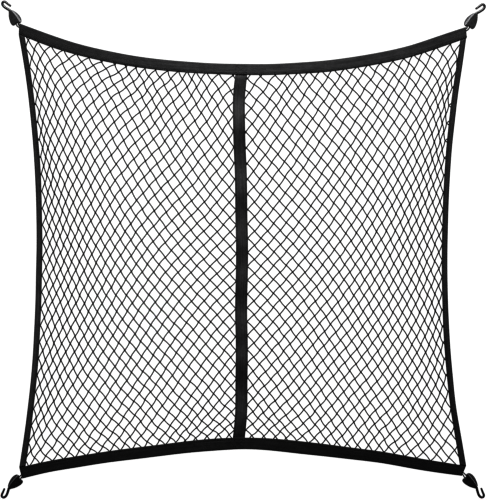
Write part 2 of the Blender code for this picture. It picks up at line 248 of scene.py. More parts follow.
RIGHT_PANEL = (
    # a row's knots as x, y at the places of ACROSS
    ((-5, 313), (113, 330), (208, 338), (305, 359), (417, 387)),
    ((6, 174), (119, 182), (218, 196), (308, 210), (374, 218)),
    ((8, 34), (125, 40), (219, 47), (297, 52), (369, 59)),
    ((7, -95), (122, -95), (213, -99), (294, -101), (367, -96)),
    ((7, -224), (114, -230), (206, -239), (295, -248), (376, -247)),
    ((3, -344), (111, -355), (201, -371), (287, -381), (413, -408)),
)
NET_LIES = 1.72  # height of the knots' middle where the net rests on the floor
KNOT_COIL = (1.0, 0.85, 0.92)  # half the size of the knot's coil along x, y and z
KNOT_THREAD = 0.72  # radius of the twine in it
KNOT_SIZE = 1.12
KNOT_SIZES = (0.94, 1.06)  # the smallest and the largest share of it
KNOT_LEAN = 0.22  # radians
HELD = 4  # half columns beside a side tape or the strap over which the unevenness fades
EVEN_ROW = 0.3  # how far an even row of knots is shifted to the right, and an odd row to the left
KNOT_JITTER = (0.2, 0.5)  # in the middle of the net, and at the top and bottom folds
BAR_BOW = (0.48, 0.85)  # how far a strand bends aside between two knots, in the same two places
BOW_JITTER = (0.18, 0.4)  # its spread and its limit
SAG = 0.5  # how far at most a strand hangs below its knots
JITTER_REACH = 5  # rows from a fold
UNEVEN = {"top": (4.2, 2.0), "bottom": (3.0, 2.4)}  # how unevenly the net is sewn in, along x and y
UNEVEN_LENGTH = 17  # half columns
UNEVEN_REACH = 11  # rows over which it evens out
NET_IN_FOLD = 4.5  # how far at most the last knots lie inside a fold
IN_FOLD = 6  # how far the last strands go into a fold
LEG_LEAN = 0.75  # how far each strand leans aside on its way into a fold, for each mm inward
CLEAR_OF_FOLD = 1.5  # the net's last knots show where they lie this far outside a fold

# --- hooks -------------------------------------------------------------------------------------
HOOKS = (
    # name, x and y of the foot, direction of v in degrees, side of the free leg, size, painted highlight
    # on the facet
    ("top_left", -419.4, 416.5, 113.8, 1, 1.0, "broad"),
    ("top_right", 416.5, 410.5, 64.2, -1, 1.04, "broad"),
    ("bottom_left", -411.9, -422.6, 217.8, 1, 1.0, "narrow"),
    ("bottom_right", 408.6, -419.9, -40.0, -1, 1.04, "narrow"),
)
FACET_HIGHLIGHTS = {
    # painted highlight of the light's reflection on the facet: how much lighter the facet is, at its
    # inner edge and at the rim, and how wide the highlight is
    "broad": (5.0, 2.5, 3.6),
    "narrow": (11.0, 1.5, 1.7),
}
BODY_HEIGHT = 7
BODY_ROUND = 1.4
BODY_STEPS = 126
BODY_BACK = (1.4, 0.7, 0.25, 0.0)  # insets of the rings of points on the back
BODY_FRONT = (0.0, 0.12, 0.3, 0.6, 0.9, 1.2, *(1.5 + 0.3 * k for k in range(19)))
BODY_DEEPEST = 0.85  # share of the way to the spine that a ring goes at most
BODY_OUTLINE = (
    # u, v round the body, from the notch between its two feet
    (-1.6, 1.5),
    (-4.2, 0.6),
    (-6.8, 0.9),
    (-8.7, 3.0),
    (-9.3, 7.2),
    (-8.9, 12.0),
    (-7.7, 18.0),
    (-6.0, 22.6),
    (-4.4, 26.0),
    (-3.7, 27.8),
    (2.6, 27.8),
    (4.7, 25.6),
    (7.1, 22.3),
    (9.4, 18.0),
    (11.0, 13.2),
    (11.6, 8.6),
    (11.1, 4.5),
    (9.3, 1.2),
    (6.4, 0.0),
    (3.4, 0.9),
    (1.0, 1.8),
)
BODY_SPINE = ((1.4, 8.0), (-0.4, 24.0))
FACET_LINE = (
    # v, u where the flat face ends and the facet starts
    (0, 7.4),
    (8, 6.0),
    (15, 4.8),
    (23, 2.6),
    (28, 1.4),
)
FACET_WIDTH = 3.6
FACET_SLOPE = 0.42
RIM_SLOPE = 1.6
RIM_LOW = 2.4  # height below which the rim doesn't drop
CREASE = 0.3  # how soft the creases beside the facet are
WIRE = 4.5  # thickness at the body and at the tip
WIRE_TIP = 3.5
WIRE_SIDES = 16
WIRE_STEP = 0.7
WIRE_ROUTE = (
    # u, v
    (-0.5, 19.5),
    (-0.5, 22.5),
    (-0.5, 25.5),
    (-0.8, 28.2),
    (-3.0, 31.5),
    (-5.6, 35.2),
    (-8.1, 39.3),
    (-9.2, 43.0),
    (-8.9, 45.9),
    (-7.5, 47.7),
    (-5.4, 48.3),
    (-3.2, 47.4),
    (-1.9, 45.6),
    (-0.6, 43.0),
    (1.3, 39.5),
    (3.8, 34.9),
)
CORD = 2.2
CORD_SIDES = 12
CORD_STEP = 0.6
CORD_BORES = (3.8, -0.9)  # u of the body's two bores
CORD_DEPTHS = (5.5, 3.2, 1.0)  # v of the cord's points in them
CORD_HEIGHT = 2.6
LOOP_FROM_EDGE = (2.4, 6.2)  # the loop's two strands inside the tape, from its outer edge
LOOP_REACH = 6  # how far the loop goes in from the tape's end
LOOP_CLEAR = 1.4  # how far outside the end its strands part

# --- stitching ---------------------------------------------------------------------------------
STITCH = 3.4  # length of a stitch and the space after it
STITCH_TILT = 0.06
THREAD_SIZE = (2.7, 0.75, 0.55)  # a stitch's length, width and height
# Place along a stitch and share of its full width
THREAD_PROFILE = ((-0.5, 0.25), (-0.38, 0.8), (-0.12, 1.0), (0.12, 1.0), (0.38, 0.8), (0.5, 0.25))
THREAD_SUNK = 0.12  # how deep a tape's seam lies below its flat top
TAPE_SEAM = 3.0  # from a tape's open edge to its row of stitches
TAPE_SEAM_ENDS = {"top": (-412, 409), "bottom": (-408, 403), "left": (-392, 388), "right": (-392, 384)}
STRAP_SEAM = 2.6  # from each edge of the strap
STRAP_SEAM_UP = 0.02
BOX_WIDTH = 20
BOX_INSET = 3

# --- camera, light and floor -------------------------------------------------------------------
PICTURE_HEIGHT = 925  # what the camera sees from bottom to top
CAMERA = (-0.185, -0.555, 3000)
SENSOR = 36
FLOOR_SIZE = 40000
LIGHT_AT = (0, 1750, 1500)
LIGHT_SIZE = (2200, 900)
LIGHT_POWER = 240.0
WORLD_GLOW = 0.05
HORIZON = (0.21, 0.3)  # sines of the heights between which the room's glow fades
FLOOR_GLOW = 1.0
FLOOR_COLOUR = 0.02
CONTRAST = 0.45  # gamma of the picture; below 1, thin strands come out as dark as in the photograph


# --- curves ------------------------------------------------------------------------------------
def curve_through(stations, values):
    """The smooth curve through values at rising stations, straight beyond its ends."""
    s = np.array(stations, float)
    v = np.array(values, float)
    h = np.diff(s)
    system = np.eye(len(s))
    load = np.zeros(v.shape)
    for k in range(1, len(s) - 1):
        system[k, k - 1 : k + 2] = h[k - 1], 2 * (h[k - 1] + h[k]), h[k]
        load[k] = 6 * ((v[k + 1] - v[k]) / h[k] - (v[k] - v[k - 1]) / h[k - 1])
    bend = np.linalg.solve(system, load)

    def at(x):
        x = np.asarray(x, float)
        k = np.clip(np.searchsorted(s, x) - 1, 0, len(h) - 1)
        inside = np.clip(x, s[0], s[-1])
        wide = h[k].reshape(x.shape + (1,) * (v.ndim - 1))
        a = ((s[k + 1] - inside) / h[k]).reshape(wide.shape)
        b = 1 - a
        lift = (a**3 - a) * bend[k] + (b**3 - b) * bend[k + 1]
        slope = (v[k + 1] - v[k]) / wide
        turn = (1 - 3 * a**2) * bend[k] + (3 * b**2 - 1) * bend[k + 1]
        beyond = (x - inside).reshape(wide.shape)
        found = a * v[k] + b * v[k + 1] + lift * wide**2 / 6
        return found + beyond * (slope + turn * wide / 6)

    return at


def edges(table):
    """The curves of a tape's outer and inner edge."""
    first, outer, inner = zip(*table)
    return curve_through(first, outer), curve_through(first, inner)


top_outer, top_inner = edges(TOP_TAPE)
bottom_outer, bottom_inner = edges(BOTTOM_TAPE)
left_outer, left_inner = edges(LEFT_TAPE)
right_outer, right_inner = edges(RIGHT_TAPE)
strap_x = curve_through(*zip(*STRAP_LINE))
EDGES = (
    ("top", top_outer, top_inner),
    ("bottom", bottom_outer, bottom_inner),
    ("left", left_outer, left_inner),
    ("right", right_outer, right_inner),
)


def between(a, b, t):
    return a + (b - a) * t


def smooth_step(t):
    t = np.clip(t, 0, 1)
    return t * t * (3 - 2 * t)


def ripple(places, length, seed):
    """An uneven wave from about -1 to 1 along places, of about that wavelength."""
    made = np.zeros(np.shape(places))
    rng = np.random.default_rng(seed)
    for share in (0.6, 1.0, 1.7):
        made += np.sin(2 * np.pi * (places * share / length + rng.random()))
    return made / 2.4


# --- meshes ------------------------------------------------------------------------------------
def new_object(name, points, faces, material, uvs=None, shade=None):
    """A mesh object that rides on the net. faces is a list of arrays, each of faces of one size."""
    mesh = bpy.data.meshes.new(name)
    sizes = np.concatenate([np.full(len(f), f.shape[1]) for f in faces])
    corners = np.concatenate([f.ravel() for f in faces])
    mesh.vertices.add(len(points))
    mesh.vertices.foreach_set("co", (points * MM).ravel())
    mesh.loops.add(len(corners))
    mesh.loops.foreach_set("vertex_index", corners)
    mesh.polygons.add(len(sizes))
    mesh.polygons.foreach_set("loop_start", np.concatenate([[0], np.cumsum(sizes)[:-1]]))
    mesh.update(calc_edges=True)
    if uvs is not None:
        layer = mesh.uv_layers.new(name="cloth")
        layer.data.foreach_set("uv", uvs[corners].ravel())
    if shade is not None:
        layer = mesh.attributes.new("shade", "FLOAT", "POINT")
        layer.data.foreach_set("value", shade.ravel())
    mesh.shade_smooth()
    mesh.materials.append(material)
    obj = bpy.data.objects.new(name, mesh)
    bpy.context.scene.collection.objects.link(obj)
    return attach(obj, "root")


def grid_faces(rows, columns):
    """Quads of a grid of points stored row by row."""
    corner = np.arange(rows * columns).reshape(rows, columns)
    quads = (corner[:-1, :-1], corner[1:, :-1], corner[1:, 1:], corner[:-1, 1:])
    return np.stack(quads, axis=-1).reshape(-1, 4)


def unit(ways):
    return ways / np.linalg.norm(ways, axis=1)[:, None]


def level_side(way):
    """The level direction to the left of each way."""
    return unit(np.stack([-way[:, 1], way[:, 0], 0 * way[:, 0]], axis=1))


def passed(path):
    """Distance along a path at each of its points."""
    return np.concatenate([[0], np.cumsum(np.linalg.norm(np.diff(path, axis=0), axis=1))])


def circles(side, up, sides):
    """A ring of directions at each point of a path."""
    turn = (np.arange(sides) / sides * 2 * np.pi)[None, :, None]
    return np.cos(turn) * side[:, None] + np.sin(turn) * up[:, None]


def ring_faces(rings, sides, closed=False):
    """Quads between rings of points, stored ring by ring, and the two caps."""
    run = np.arange(rings * sides).reshape(rings, sides)
    near, far = (run, np.roll(run, -1, axis=0)) if closed else (run[:-1], run[1:])
    quads = np.stack([near, np.roll(near, -1, axis=1), np.roll(far, -1, axis=1), far], axis=-1)
    return quads.reshape(-1, 4), np.stack([run[0][::-1], run[-1]])


def ring_uvs(along, sides):
    around = np.arange(sides) / sides * TURN_UV
    return np.stack([np.repeat(along, sides), np.tile(around, len(along))], axis=1)


def tube_parts(path, radius, sides):
    """Points, quads, caps and UVs of a closed round tube along a path."""
    way = unit(np.gradient(path, axis=0))
    side = level_side(way)
    ring = circles(side, np.cross(way, side), sides)
    radius = np.broadcast_to(radius, len(path))
    points = path[:, None] + ring * radius[:, None, None]
    return points.reshape(-1, 3), *ring_faces(len(path), sides), ring_uvs(passed(path), sides)


def tubes(name, paths, radius, sides, material):
    """Many tubes as one object. radius is one size, or one for each point."""
    points, quads, caps, uvs = [], [], [], []
    start = 0
    for path in paths:
        p, q, c, u = tube_parts(path, radius, sides)
        points.append(p)
        quads.append(q + start)
        caps.append(c + start)
        uvs.append(u)
        start += len(p)
    faces = [np.concatenate(quads), np.concatenate(caps)]
    return new_object(name, np.concatenate(points), faces, material, np.concatenate(uvs))


def copies(name, form, places, ways, material):
    """Copies of a small form as one object. ways holds each copy's three axes as columns."""
    points, faces, uvs = form
    made = np.einsum("nij,pj->npi", ways, points) + places[:, None]
    shift = (np.arange(len(places)) * len(points))[:, None, None]
    sets = [(shift + f[None]).reshape(-1, f.shape[1]) for f in faces]
    everywhere = np.tile(uvs, (len(places), 1))
    return new_object(name, made.reshape(-1, 3), sets, material, everywhere)


# --- materials ---------------------------------------------------------------------------------
class Surface:
    """A Principled material and a few short ways to add nodes to it."""

    def __init__(self, name, colour, roughness, **settings):
        self.material = bpy.data.materials.new(name)
        self.material.use_nodes = True
        self.tree = self.material.node_tree
        self.shader = self.tree.nodes["Principled BSDF"]
        self.colour = colour
        self.shader.inputs["Base Color"].default_value = (*colour, 1)
        self.shader.inputs["Roughness"].default_value = roughness
        for socket, value in settings.items():
            self.shader.inputs[socket.replace("_", " ")].default_value = value

    def node(self, kind, inputs=(), **settings):
        made = self.tree.nodes.new("ShaderNode" + kind)
        for key, value in settings.items():
            setattr(made, key, value)
        for socket, value in dict(inputs).items():
            self.put(value, made.inputs[socket])
        return made

    def put(self, value, socket):
        if hasattr(value, "is_output"):
            self.tree.links.new(value, socket)
        else:
            socket.default_value = value

    def math(self, operation, *values):
        made = self.node("Math", enumerate(values), operation=operation)
        return made.outputs[0]

    def noise(self, scale, detail=2, where=None):
        where = where or self.node("TexCoord").outputs["Object"]
        inputs = {"Vector": where, "Scale": scale, "Detail": detail}
        return self.node("TexNoise", inputs).outputs["Fac"]

    def spread(self, value, low, high, start=0.3, end=0.7):
        """The value's range from start to end, laid out from low to high."""
        inputs = {"Value": value, "From Min": start, "From Max": end, "To Min": low, "To Max": high}
        return self.node("MapRange", inputs).outputs[0]

    def paint(self, factor):
        scaled = self.node("VectorMath", {0: self.colour, "Scale": factor}, operation="SCALE")
        self.put(scaled.outputs[0], self.shader.inputs["Base Color"])

    def bump(self, height, strength, distance):
        inputs = {"Height": height, "Strength": strength, "Distance": distance * MM}
        self.put(self.node("Bump", inputs).outputs[0], self.shader.inputs["Normal"])

    def shade(self):
        """How light the surface is at each point of its mesh: painted light and shade."""
        return self.node("Attribute", attribute_name="shade").outputs["Fac"]

    def cloth_place(self):
        """Millimetres along and across the cloth."""
        split = self.node("SeparateXYZ", {0: self.node("UVMap", uv_map="cloth").outputs[0]})
        return split.outputs[0], split.outputs[1]


def webbing_material(name, colour, pitch=1.3):
    """Woven webbing: herringbone ribs along the tape with painted shade in their grooves, darker edges
    of painted shade, painted light along its length, uneven black.
    """
    s = Surface(name, colour, 0.72, Specular_IOR_Level=0.25, Sheen_Weight=0.0)
    along, across = s.cloth_place()
    zigzag = s.math("PINGPONG", along, pitch * 1.1)
    phase = s.math("ADD", s.math("MULTIPLY", across, 1 / pitch), s.math("MULTIPLY", zigzag, 0.45))
    rib = s.math("SINE", s.math("MULTIPLY", phase, 2 * math.pi))
    pick = s.math("SINE", s.math("MULTIPLY", along, 2 * math.pi / (pitch * 0.55)))
    fibre = s.noise(2600, 3)
    height = s.math("ADD", s.math("MULTIPLY", rib, 0.5), s.math("MULTIPLY", pick, 0.22))
    height = s.math("ADD", height, s.math("MULTIPLY", fibre, 0.7))
    s.bump(height, 0.7, 0.16)
    cloud = s.spread(s.noise(90, 4), 0.86, 1.16)
    warp = {"X": s.math("MULTIPLY", along, 0.012), "Y": s.math("MULTIPLY", across, 0.42)}
    streak = s.spread(s.noise(1, 2, s.node("CombineXYZ", warp).outputs[0]), 0.72, 1.28)
    # painted shade: the ribs' grooves are darker than their crests
    thread = s.math("MULTIPLY", s.spread(rib, 0.86, 1.1, -1, 1), streak)
    s.paint(s.math("MULTIPLY", s.math("MULTIPLY", cloud, thread), s.shade()))
    s.put(s.spread(fibre, 0.62, 0.85), s.shader.inputs["Roughness"])
    return s.material


def twine_material(name, colour, lay=2.2):
    """Twisted twine: slanting strands, darker between them as painted shade, a little uneven in black
    and gloss.
    """
    s = Surface(name, colour, 0.6, Specular_IOR_Level=0.3)
    along, around = s.cloth_place()
    phase = s.math("ADD", s.math("MULTIPLY", along, 1 / lay), s.math("MULTIPLY", around, 0.5))
    strand = s.math("SINE", s.math("MULTIPLY", phase, 2 * math.pi))
    fibre = s.noise(3200, 3)
    s.bump(s.math("ADD", strand, s.math("MULTIPLY", fibre, 0.5)), 0.8, 0.14)
    # painted shade: darker in the troughs between the twisted strands
    s.paint(s.math("MULTIPLY", s.spread(strand, 0.7, 1.15, -1, 1), s.spread(s.noise(60), 0.8, 1.2)))
    s.put(s.spread(fibre, 0.5, 0.75), s.shader.inputs["Roughness"])
    return s.material


def plastic_material(name, colour):
    """Moulded plastic: fine grain, faint scuffs, and the painted highlight on the facet that the shade
    attribute carries.
    """
    s = Surface(name, colour, 0.5, Specular_IOR_Level=0.3)
    grain = s.noise(1500, 3)
    s.bump(grain, 0.25, 0.1)
    scuff = s.spread(s.noise(240, 6), 0.0, 1.0, 0.45, 0.7)
    s.paint(s.math("MULTIPLY", s.spread(scuff, 0.9, 1.35, 0, 1), s.shade()))
    s.put(s.spread(scuff, 0.44, 0.6, 0, 1), s.shader.inputs["Roughness"])
    return s.material


def wire_material(name, colour):
    """Black coated wire: a satin coat with small runs and rubs."""
    s = Surface(name, colour, 0.4, Specular_IOR_Level=0.45)
    s.bump(s.noise(900, 3), 0.3, 0.12)
    highlight = s.spread(s.noise(420, 5), 0.0, 1.0, 0.5, 0.72)
    s.paint(s.spread(highlight, 0.9, 2.2, 0, 1))
    s.put(s.spread(highlight, 0.36, 0.55, 0, 1), s.shader.inputs["Roughness"])
    return s.material


def floor_material():
    s = Surface("floor", (FLOOR_COLOUR,) * 3, 0.9, Emission_Color=(1, 1, 1, 1), Specular_IOR_Level=0)
    s.shader.inputs["Emission Strength"].default_value = FLOOR_GLOW
    return s.material


WEBBING = webbing_material("webbing", (0.03, 0.03, 0.0305))
TWINE_BLACK = twine_material("twine", (0.007, 0.007, 0.0075))
THREAD = twine_material("thread", (0.013, 0.013, 0.0135), 0.9)
CORD_BLACK = twine_material("cord", (0.008, 0.008, 0.0085), 2.6)
PLASTIC = plastic_material("hook_plastic", (0.013, 0.013, 0.0135))
WIRE_BLACK = wire_material("hook_wire", (0.010, 0.010, 0.011))


# --- camera, light and floor -------------------------------------------------------------------
def camera():
    data = bpy.data.cameras.new("camera")
    data.sensor_width = SENSOR
    data.lens = SENSOR * (CAMERA[2] - MID) / PICTURE_HEIGHT
    data.clip_start = 0.1
    data.clip_end = 20
    obj = bpy.data.objects.new("camera", data)
    obj.location = [c * MM for c in CAMERA]
    bpy.context.scene.collection.objects.link(obj)
    bpy.context.scene.camera = obj


def light():
    data = bpy.data.lights.new("window", "AREA")
    data.shape = "RECTANGLE"
    data.size, data.size_y = (size * MM for size in LIGHT_SIZE)
    data.energy = LIGHT_POWER
    obj = bpy.data.objects.new("window", data)
    obj.location = [c * MM for c in LIGHT_AT]
    obj.rotation_euler = (-math.atan2(LIGHT_AT[1], LIGHT_AT[2]), 0, 0)
    bpy.context.scene.collection.objects.link(obj)
    bpy.context.scene.view_settings.view_transform = "Standard"
    bpy.context.scene.view_settings.gamma = CONTRAST


def world():
    """A dim room, as pale as the floor just above the horizon."""
    made = bpy.data.worlds.new("world")
    made.use_nodes = True
    nodes, links = made.node_tree.nodes, made.node_tree.links
    split = nodes.new("ShaderNodeSeparateXYZ")
    fade = nodes.new("ShaderNodeMapRange")
    ends = zip(("From Min", "From Max", "To Min", "To Max"), (*HORIZON, FLOOR_GLOW, WORLD_GLOW))
    for socket, value in ends:
        fade.inputs[socket].default_value = value
    links.new(nodes.new("ShaderNodeTexCoord").outputs["Generated"], split.inputs[0])
    links.new(split.outputs["Z"], fade.inputs["Value"])
    links.new(fade.outputs[0], nodes["Background"].inputs["Strength"])
    nodes["Background"].inputs["Color"].default_value = (1, 1, 1, 1)
    bpy.context.scene.world = made


def floor():
    half = FLOOR_SIZE / 2 * MM
    corners = [(-half, -half, 0), (half, -half, 0), (half, half, 0), (-half, half, 0)]
    mesh = bpy.data.meshes.new("floor")
    mesh.from_pydata(corners, [], [(0, 1, 2, 3)])
    mesh.materials.append(floor_material())
    obj = bpy.data.objects.new("floor", mesh)
    bpy.context.scene.collection.objects.link(obj)


# --- tapes -------------------------------------------------------------------------------------
def fold_section(width):
    """A folded tape's section: distance from the outer edge, height, and distance round the tape."""
    centre = FOLD + TAPE / 2
    leaf = np.linspace(width, centre, max(3, round((width - centre) / LEAF_STEP)) + 1)[:-1]
    turn = np.pi * (np.arange(FOLD_STEPS + 1) / FOLD_STEPS - 0.5)
    outward = np.concatenate([leaf, centre - FOLD * np.cos(turn), leaf[::-1]])
    height = np.concatenate([leaf * 0 + TAPE / 2, MID + FOLD * np.sin(turn), leaf * 0 + MID + FOLD])
    around = passed(np.column_stack([outward, height]))
    return outward, height, around - around[-1] / 2


def edge_shade(distance, width, dark):
    """How light the tape is, by the distance from one edge: a darker line along each edge, painted shade
    where the webbing's rounded edges turn away from the light.
    """
    near = np.minimum(distance, width - distance)
    return between(dark, 1, smooth_step((near - EDGE_LINE) / EDGE_FADE))


# painted light and shade along a piece of webbing
def painted_light_tone(name, along):
    return curve_through(*zip(*PAINTED_LIGHT_TONES[name]))(along)


def folded_tape(name, outer, inner, start, end, spot, seed, dark):
    """The folded tape along one edge. spot(t, along) turns a place along it into x, y."""
    stations = np.linspace(start, end, 9)
    width = float(np.mean(np.abs(outer(stations) - inner(stations))))
    outward, height, around = fold_section(width)
    count = round(abs(end - start) / TAPE_STEP) + 1
    t = np.linspace(0, 1, count)[:, None]
    part = (outward / width)[None]
    xy = spot(t, part)
    along = between(start, end, t) + 0 * part
    upper = (height > MID)[None]
    from_edge = outward[None] + 0 * t
    seam = np.exp(-(((from_edge - (width - TAPE_SEAM)) / SEAM_SPREAD) ** 2))
    pucker = PUCKER[0] * ripple(along, PUCKER[1], seed) * seam
    slack = SLACK[0] * ripple(along, SLACK[1], seed + 1)
    droop = EDGE_DROOP * smooth_step((from_edge - (width - EDGE_REACH)) / EDGE_REACH)
    droop = droop * (1 - over_strap(xy[..., 0], xy[..., 1]))
    z = height[None] + np.where(upper, pucker + slack - SEAM_DIP * seam - droop, 0)
    points = np.concatenate([xy, z[..., None]], axis=-1)
    uvs = np.stack([along, around[None] + 0 * along], axis=-1)
    # painted shade along the edges, and painted light and shade along the length
    shade = edge_shade(from_edge, width, dark) * painted_light_tone(name, along)
    faces = [grid_faces(*along.shape)]
    obj = new_object(name, points.reshape(-1, 3), faces, WEBBING, uvs.reshape(-1, 2), shade)
    thicken(obj)
    return obj


def over_strap(x, y):
    """1 over the strap's middle, falling to 0 beside it."""
    return np.exp(-(((x - strap_x(y)) / STRAP_OVER) ** 4))


def thicken(obj):
    thick = obj.modifiers.new("Thickness", "SOLIDIFY")
    thick.thickness = TAPE * MM
    thick.offset = 0
    thick.use_even_offset = True


def long_tape(name, node, outer, inner, seed):
    (left_out, left_in), (right_out, right_in) = TAPE_ENDS[node]

    def spot(t, part):
        x = between(between(left_out, left_in, part), between(right_out, right_in, part), t)
        return np.stack([x, between(outer(x), inner(x), part)], axis=-1)

    obj = folded_tape(name, outer, inner, left_out, right_out, spot, seed, LONG_EDGE)
    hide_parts(node)
    return obj


def side_tape(name, node, outer, inner, seed):
    low, high = float(bottom_inner(outer(-400))), float(top_inner(outer(400)))

    def spot(t, part):
        y = between(low, high, t) + 0 * part
        x = between(outer(y), inner(y), part)
        y = between(bottom_inner(x) + GAP, top_inner(x) - GAP, t)
        return np.stack([between(outer(y), inner(y), part), y], axis=-1)

    obj = folded_tape(name, outer, inner, low, high, spot, seed, SIDE_EDGE)
    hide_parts(node)
    return obj


def strap_lie(knots):
    """A function from x, y to the height of the strap's middle.

    It rests on the net, a little raised over each knot, and dips into the folds of the long tapes.
    """
    near = knots[COLUMNS - 1 : COLUMNS + 4].reshape(-1, 3)
    near = near[~np.isnan(near[:, 0])]
    on_net = MID + TWINE / 2 + GAP + TAPE / 2
    in_fold = TAPE + SLOT - GAP - TAPE / 2

    def height(x, y):
        inside = np.maximum(y - top_inner(x), bottom_inner(x) - y)
        relief = np.zeros(x.shape)
        for kx, ky, _ in near:
            relief = np.maximum(relief, np.exp(-(((x - kx) ** 2 + (y - ky) ** 2) / 5)))
        wave = 0.5 + 0.5 * ripple(y, STRAP_WAVE_LENGTH, SEED)
        wave = STRAP_WAVE * wave * smooth_step(-inside / 40 - 0.3)
        lies = between(on_net, in_fold, smooth_step((inside + STRAP_SLOPE) / STRAP_SLOPE))
        return lies + STRAP_RELIEF * relief * (inside < -STRAP_SLOPE) + wave

    return height


def centre_strap(knots, height):
    """The strap, pulled a little wider where the knots beside it are sewn to its edges."""
    low = float(bottom_inner(strap_x(-345))) - STRAP_TUCK
    high = float(top_inner(strap_x(318))) + STRAP_TUCK
    y = np.linspace(low, high, round((high - low) / STRAP_STEP))[:, None]
    n = np.linspace(-0.5, 0.5, round(STRAP_WIDTH / STRAP_STEP) + 1)[None]
    sewn = knots[[COLUMNS, COLUMNS + 2]].reshape(-1, 3)
    sewn = sewn[~np.isnan(sewn[:, 0])]
    pull = STRAP_PULL * sum(np.exp(-(((y - k[1]) / 3) ** 2)) for k in sewn)
    x = strap_x(y) + n * (STRAP_WIDTH + pull)
    y = y + 0 * x
    points = np.stack([x, y, height(x, y)], axis=-1)
    uvs = np.stack([y, n * STRAP_WIDTH + 0 * y], axis=-1)
    # painted shade along the edges, and painted light and shade along the length
    shade = edge_shade((n + 0.5) * STRAP_WIDTH + 0 * y, STRAP_WIDTH, LONG_EDGE) * painted_light_tone("strap", y)
    faces = [grid_faces(*x.shape)]
    obj = new_object("strap", points.reshape(-1, 3), faces, WEBBING, uvs.reshape(-1, 2), shade)
    thicken(obj)
    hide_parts("strap_centre")
    return obj


# --- net ---------------------------------------------------------------------------------------
def weights(stations, at):
    """Lagrange weights of the stations at these places."""
    found = []
    for k, own in enumerate(stations):
        others = [s for m, s in enumerate(stations) if m != k]
        found.append(np.prod([(at - s) / (own - s) for s in others], axis=0))
    return np.array(found)


def knot_places():
    """x, y, z of each knot by half column and half row, with nan where there is none."""
    rng = np.random.default_rng(SEED)
    places = np.full((LAST + 1, ROWS + 1, 3), np.nan)
    down = weights(DOWN, np.arange(ROWS + 1))
    across = weights(ACROSS, np.arange(COLUMNS + 1))
    for first, panel in ((0, LEFT_PANEL), (COLUMNS + 2, RIGHT_PANEL)):
        spots = np.einsum("rj,ci,rck->ijk", down, across, np.array(panel, float))
        places[first : first + COLUMNS + 1, :, :2] = spots
    places[UNDER_STRAP] = (places[UNDER_STRAP - 1] + places[UNDER_STRAP + 1]) / 2
    column, row = np.indices(places.shape[:2])
    from_strap = np.abs(column - UNDER_STRAP)
    held = smooth_step(np.minimum(np.minimum(column, LAST - column), from_strap) / HELD)
    inward = np.where(column < UNDER_STRAP, 1, -1)
    for k, (from_fold, fold) in enumerate(((row, "top"), (ROWS - row, "bottom"))):
        sewn_at = column - inward * from_fold
        fade = held * np.exp(-from_fold / UNEVEN_REACH)
        for axis in (0, 1):
            wave = ripple(sewn_at, UNEVEN_LENGTH, SEED + 2 * k + axis)
            places[..., axis] += UNEVEN[fold][axis] * wave * fade
    near_fold = np.exp(-np.minimum(row, ROWS - row) / JITTER_REACH)
    jitter = np.clip(rng.normal(0, 1, places.shape[:2] + (2,)), -2, 2)
    places[..., :2] += jitter * (between(*KNOT_JITTER, near_fold) * (held > 0))[..., None]
    places[..., 0] += EVEN_ROW * np.where(row % 2 == 0, 1, -1)
    x, y = places[..., 0], places[..., 1]
    x[:] = np.clip(x, left_inner(y) - NET_IN_FOLD, right_inner(y) + NET_IN_FOLD)
    y[:] = np.clip(y, bottom_inner(x) - NET_IN_FOLD, top_inner(x) + NET_IN_FOLD)
    to_edge = np.minimum(np.minimum(column, LAST - column), np.minimum(row, ROWS - row))
    places[..., 2] = between(MID, NET_LIES, smooth_step(to_edge / 2))
    places[(column + row) % 2 == 0] = np.nan
    return places


def strand(knots, rows, rng):
    """The twine's line through the knots of these rows, bent aside between them."""
    s = np.arange(BAR_STEPS) / BAR_STEPS
    start, way = knots[:-1], np.diff(knots, axis=0)
    flat = level_side(way)
    upper = np.minimum(rows[:-1], rows[1:])
    near_fold = np.exp(-np.minimum(upper, ROWS - 1 - upper) / JITTER_REACH)
    left = np.where(upper % 2 == 0, 1, -1) * -np.sign(flat[:, 0])
    spread, limit = BOW_JITTER
    own = np.clip(rng.normal(0, spread, len(way)), -limit, limit)
    bow = left * between(*BAR_BOW, near_fold) + own
    bend = np.zeros(knots.shape)
    bend[1:-1] = 2 * knots[1:-1] - knots[:-2] - knots[2:]
    aside = flat * bow[:, None] + (bend[:-1] + bend[1:]) / 16
    aside[:, 2] -= rng.uniform(0.0, SAG, len(way))
    line = start[:, None] + way[:, None] * s[None, :, None]
    line = line + aside[:, None] * (4 * s * (1 - s))[None, :, None]
    return np.concatenate([line.reshape(-1, 3), knots[-1:]])


def into_fold(knot, column, row, way):
    """Where a strand ends inside the fold beyond its last knot. way is its direction there."""
    x, y, _ = knot
    lean = 0 if column in (0, LAST) and row in (0, ROWS) else LEG_LEAN
    if row in (0, ROWS):
        end = float(top_inner(x)) + IN_FOLD if row == 0 else float(bottom_inner(x)) - IN_FOLD
        return x + way[0] * lean * abs(end - y), end, MID
    end = float(left_inner(y)) - IN_FOLD if column == 0 else float(right_inner(y)) + IN_FOLD
    return end, y + way[1] * lean * abs(end - x), MID


def press_down(points):
    """Lowers the net where the strap's ends go into the folds over it."""
    x, y = points[:, 0], points[:, 1]
    inside = np.maximum(y - top_inner(x), bottom_inner(x) - y)
    near = smooth_step((inside + STRAP_SLOPE) / STRAP_SLOPE)
    points[:, 2] -= NET_PRESSED * over_strap(x, y) * near
    return points


